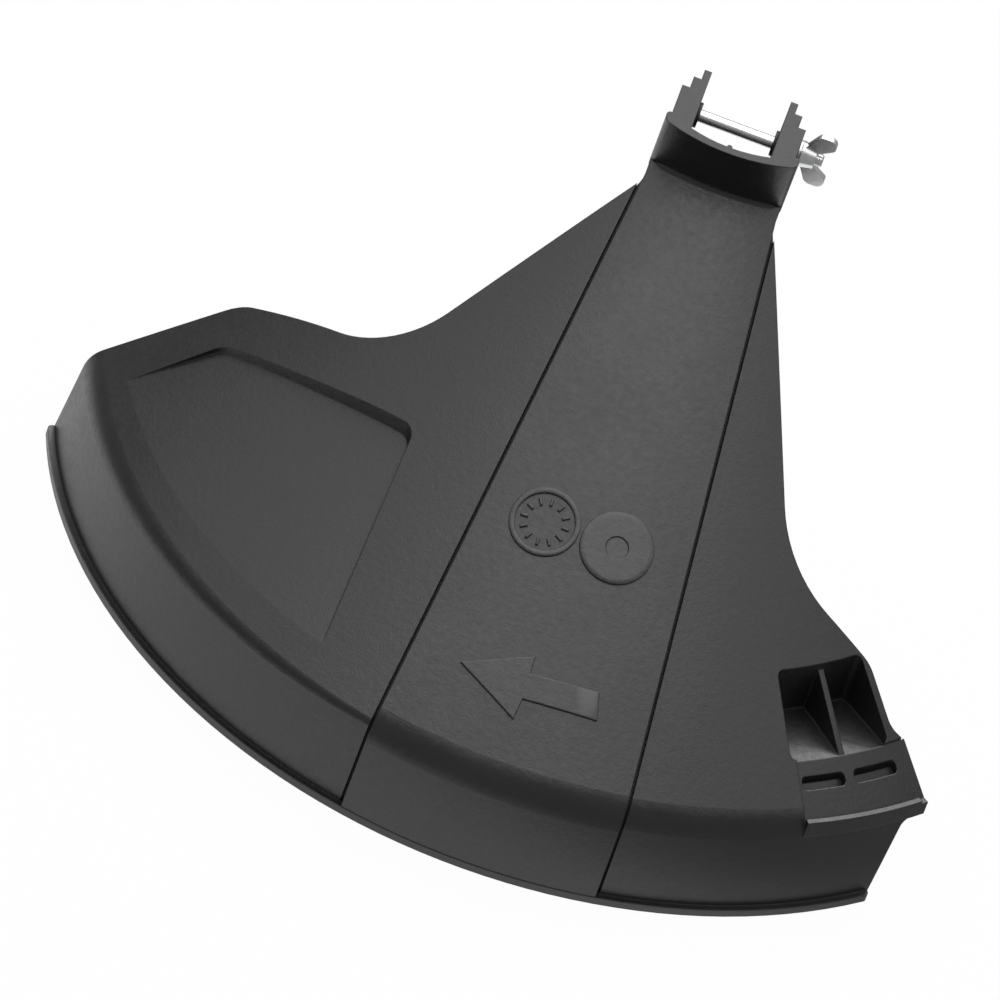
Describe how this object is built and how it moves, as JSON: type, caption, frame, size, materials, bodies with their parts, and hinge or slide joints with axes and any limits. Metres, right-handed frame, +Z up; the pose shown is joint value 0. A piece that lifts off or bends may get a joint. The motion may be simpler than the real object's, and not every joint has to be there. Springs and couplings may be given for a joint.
{
  "type": "trimmer blade guard",
  "caption": "Black moulded blade guard of a grass trimmer, with a sloping deck, a raised centre band, a line knife seat and a bolted fork with a wing nut.",
  "frame": {"origin": "The origin is on the axis of the skirt, where the cutting head turns, level with the lip.", "axes": "+Z up along that axis; -Y is the operator's side; the neck and its fork rise towards +Y."},
  "size_m": [0.3618, 0.2454, 0.2136],
  "materials": {
    "black_plastic": "satin",
    "plated_steel": "bright"
  },
  "bodies": {
    "guard": {"guard_body": "black_plastic", "clamp_bolt": "plated_steel", "flat_washer": "plated_steel"},
    "nut": {"wing_nut": "plated_steel"}
  },
  "joints": [
    {"name": "wing_nut_turn", "type": "hinge", "parent": "guard", "child": "nut", "pos_m": [0.0328, 0.0155, 0.1988], "axis": [1, 0, 0], "continuous": true}
  ]
}
